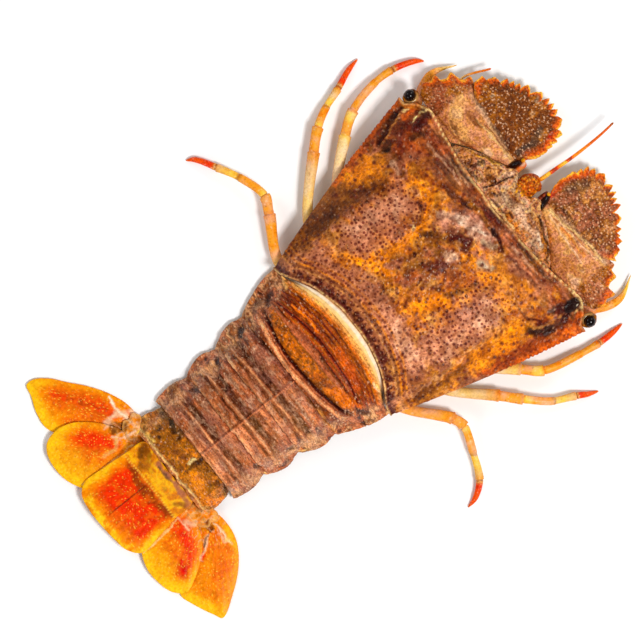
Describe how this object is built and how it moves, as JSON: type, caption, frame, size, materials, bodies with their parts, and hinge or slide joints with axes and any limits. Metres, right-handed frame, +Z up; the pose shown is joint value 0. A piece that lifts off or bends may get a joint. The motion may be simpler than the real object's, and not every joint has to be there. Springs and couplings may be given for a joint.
{
  "type": "raw slipper lobster",
  "caption": "Whole raw slipper lobster lying flat on its belly: broad wedge carapace, toothed plate-like feelers, thin legs, ringed tail and orange tail fan.",
  "frame": {"origin": "middle of the flat breastplate that the animal lies on, under the middle of the carapace", "axes": "+X towards the head, +Y towards the animal's left, +Z up through its back"},
  "size_m": [0.2095, 0.1444, 0.0256],
  "materials": {
    "carapace_shell": "rough shell, mauve brown and amber with dark dots",
    "tail_shell": "ridged shell, mauve brown",
    "membrane": "smooth pale joint skin",
    "fan_blade": "thin leathery blade, yellow to red orange",
    "feeler_shell": "grainy shell, brown with orange teeth",
    "head_shell": "rough shell, greyish tan",
    "eye": "glossy black",
    "leg_shell": "smooth thin shell, cream to orange",
    "claw": "smooth horn, red orange",
    "belly_shell": "smooth pale shell"
  },
  "bodies": {
    "root": {"carapace": "carapace_shell", "joint_membrane": "membrane", "tail_ring_1": "tail_shell", "tail_ring_2": "tail_shell", "tail_ring_3": "tail_shell", "tail_ring_4": "tail_shell", "tail_ring_5": "tail_shell", "tail_ring_6": "tail_shell", "telson": "fan_blade", "inner_blade_left": "fan_blade", "outer_blade_left": "fan_blade", "blade_base_left": "fan_blade", "inner_blade_right": "fan_blade", "outer_blade_right": "fan_blade", "blade_base_right": "fan_blade", "head": "head_shell", "snout": "feeler_shell", "feeler_base_left": "feeler_shell", "feeler_fan_left": "feeler_shell", "feeler_base_right": "feeler_shell", "feeler_fan_right": "feeler_shell", "eye_left": "eye", "eye_right": "eye", "breastplate": "belly_shell", "leg1_left_arm": "leg_shell", "leg1_left_dactyl": "claw", "leg1_right_arm": "leg_shell", "leg1_right_dactyl": "claw", "leg2_left_merus": "leg_shell", "leg2_left_carpus": "leg_shell", "leg2_left_propodus": "leg_shell", "leg2_left_dactyl": "claw", "leg3_left_merus": "leg_shell", "leg3_left_carpus": "leg_shell", "leg3_left_propodus": "leg_shell", "leg3_left_dactyl": "claw", "leg4_left_merus": "leg_shell", "leg4_left_carpus": "leg_shell", "leg4_left_propodus": "leg_shell", "leg4_left_dactyl": "claw", "leg2_right_merus": "leg_shell", "leg2_right_carpus": "leg_shell", "leg2_right_propodus": "leg_shell", "leg2_right_dactyl": "claw", "leg3_right_merus": "leg_shell", "leg3_right_carpus": "leg_shell", "leg3_right_propodus": "leg_shell", "leg3_right_dactyl": "claw", "leg4_right_merus": "leg_shell", "leg4_right_carpus": "leg_shell", "leg4_right_propodus": "leg_shell", "leg4_right_dactyl": "claw", "leg5_left": "leg_shell", "leg5_right": "leg_shell", "mouth_limb_left": "belly_shell", "mouth_limb_right": "belly_shell", "antennule_right": "claw", "antennule_left": "claw"}
  },
  "joints": []
}
